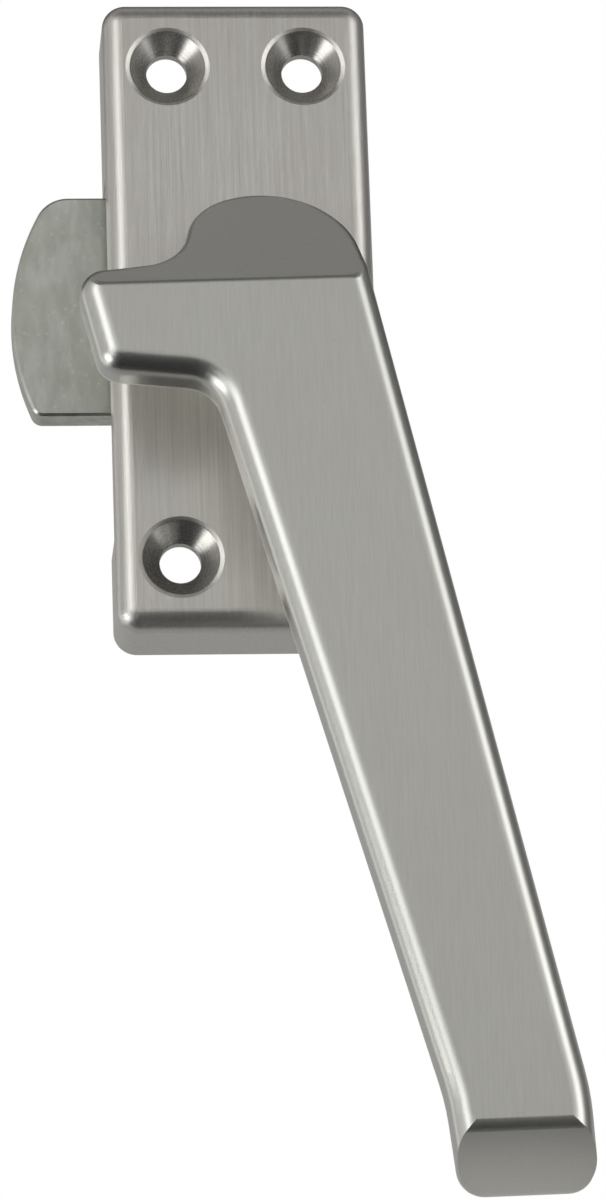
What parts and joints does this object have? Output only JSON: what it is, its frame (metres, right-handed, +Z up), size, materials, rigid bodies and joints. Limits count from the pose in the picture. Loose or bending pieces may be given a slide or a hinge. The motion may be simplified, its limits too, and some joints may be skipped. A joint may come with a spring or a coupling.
{
  "type": "window latch",
  "caption": "Surface-mounted window latch: a tapered lever handle on a screwed-on case turns a steel cam that swings out of a slot in the case's side.",
  "frame": {"origin": "centre of the four screw holes, on the face that lies against the sash", "axes": "+Z up along the case, +X to the right seen from the handle's side, +Y into the sash, so the handle stands towards -Y"},
  "size_m": [0.0638, 0.027, 0.1535],
  "materials": {
    "satin_aluminium": "satin anodised with a fine vertical grain",
    "satin_aluminium_handle": "satin anodised, smoother than the case",
    "zinc_plated_steel": "dull zinc plate, mottled",
    "spindle_steel": "bright turned steel",
    "sintered_steel": "dark sintered steel",
    "spring_steel": "blued spring steel",
    "nylon": "natural nylon"
  },
  "bodies": {
    "base": {"case": "satin_aluminium", "neck_bush": "nylon", "inner_washer": "nylon", "wave_spring": "spring_steel", "stop_pins": "spindle_steel", "blade_spring": "spring_steel"},
    "turning_handle": {"handle": "satin_aluminium_handle", "spindle": "spindle_steel", "cross_pin": "spindle_steel", "thrust_washer": "spindle_steel", "index_hub": "sintered_steel", "cam": "zinc_plated_steel"}
  },
  "joints": [
    {"name": "handle_turn", "type": "hinge", "parent": "base", "child": "turning_handle", "pos_m": [0.0019, -0.0104, 0.0006], "axis": [0, -1, 0], "range_deg": [0, 90]}
  ]
}
